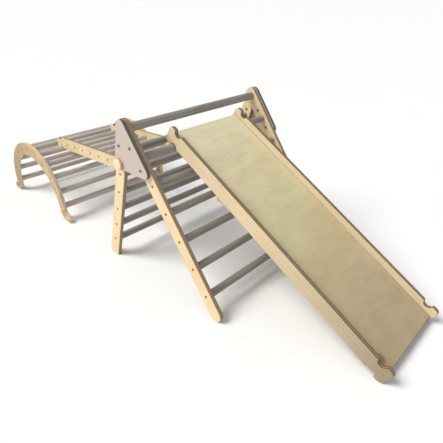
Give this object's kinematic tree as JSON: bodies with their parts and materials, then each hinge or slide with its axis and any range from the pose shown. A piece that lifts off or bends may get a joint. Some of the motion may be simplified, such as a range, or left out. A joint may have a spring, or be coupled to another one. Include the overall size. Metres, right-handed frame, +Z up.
{
  "type": "climbing set with slide",
  "caption": "Wooden indoor climbing set: arch climber, bridge ladder, folding triangle ladder and hook-on ramp slide.",
  "frame": {"origin": "middle of the whole set's footprint, on the floor", "axes": "+Z up, +X along the set from the arch to the foot of the ramp, +Y across it along the rungs"},
  "size_m": [2.4402, 0.8206, 0.7039],
  "materials": {
    "birch_ply": "clear satin varnish",
    "arch_ply": "clear satin varnish",
    "board_ply": "smooth varnish",
    "turned_wood": "clear satin varnish",
    "stained_wood": "taupe stain, satin",
    "mauve_paint": "painted, satin",
    "steel": "dark zinc"
  },
  "bodies": {
    "front_frame": {"front_leg_far": "birch_ply", "front_leg_near": "birch_ply", "front_rung_1": "stained_wood", "front_rung_2": "stained_wood", "front_rung_3": "stained_wood", "front_rung_4": "stained_wood", "front_rung_5": "stained_wood", "front_rung_6": "stained_wood", "pivot_bolt_far": "steel", "pivot_bolt_near": "steel", "plate_bolt_lower_far": "steel", "plate_bolt_lower_near": "steel", "plate_bolt_upper_far": "steel", "plate_bolt_upper_near": "steel", "side_plate_far": "mauve_paint", "side_plate_near": "mauve_paint", "top_bar": "stained_wood"},
    "rear_ladder": {"rear_leg_far": "birch_ply", "rear_leg_near": "birch_ply", "rear_rung_1": "stained_wood", "rear_rung_2": "stained_wood", "rear_rung_3": "stained_wood", "rear_rung_4": "stained_wood", "rear_rung_5": "stained_wood", "rear_rung_6": "stained_wood"},
    "knob_near": {"clamp_knob_near": "turned_wood"},
    "knob_far": {"clamp_knob_far": "turned_wood"},
    "arch": {"arch_rung_1": "stained_wood", "arch_rung_10": "stained_wood", "arch_rung_11": "stained_wood", "arch_rung_2": "stained_wood", "arch_rung_3": "stained_wood", "arch_rung_4": "stained_wood", "arch_rung_5": "stained_wood", "arch_rung_6": "stained_wood", "arch_rung_7": "stained_wood", "arch_rung_8": "stained_wood", "arch_rung_9": "stained_wood", "arch_side_far": "arch_ply", "arch_side_near": "arch_ply"},
    "bridge": {"bridge_rung_1": "stained_wood", "bridge_rung_2": "stained_wood", "bridge_rung_3": "stained_wood", "bridge_rung_4": "stained_wood", "bridge_rung_5": "stained_wood", "bridge_rung_6": "stained_wood", "bridge_rung_7": "stained_wood", "bridge_rung_8": "stained_wood", "bridge_rung_9": "stained_wood", "bridge_stringer_far": "birch_ply", "bridge_stringer_near": "birch_ply"},
    "ramp": {"ramp_board": "board_ply", "ramp_rail_far": "birch_ply", "ramp_rail_near": "birch_ply"}
  },
  "joints": [
    {"name": "rear_fold", "type": "hinge", "parent": "front_frame", "child": "rear_ladder", "pos_m": [0.095, 0, 0.59759], "axis": [0, -1, 0], "range_deg": [0, 54]},
    {"name": "ramp_lift", "type": "hinge", "parent": "front_frame", "child": "ramp", "pos_m": [0.19576, 0, 0.56684], "axis": [0, -1, 0], "range_deg": [0, 45]},
    {"name": "knob_near_turn", "type": "hinge", "parent": "front_frame", "child": "knob_near", "pos_m": [0.08497, 0, 0.51939], "axis": [0, 1, 0], "continuous": true},
    {"name": "knob_far_turn", "type": "hinge", "parent": "front_frame", "child": "knob_far", "pos_m": [0.08497, 0, 0.51939], "axis": [0, 1, 0], "continuous": true},
    {"name": "arch_shift", "type": "slide", "parent": "front_frame", "child": "arch", "axis": [-0.766, 0, 0.6428], "range_m": [0, 0.3]},
    {"name": "bridge_lift", "type": "slide", "parent": "arch", "child": "bridge", "axis": [-0.766, 0, 0.6428], "range_m": [0, 0.43]}
  ],
  "couplings": [
    {"joint": "bridge_lift", "follows": "rear_fold", "m_per_rad": 0.45}
  ]
}
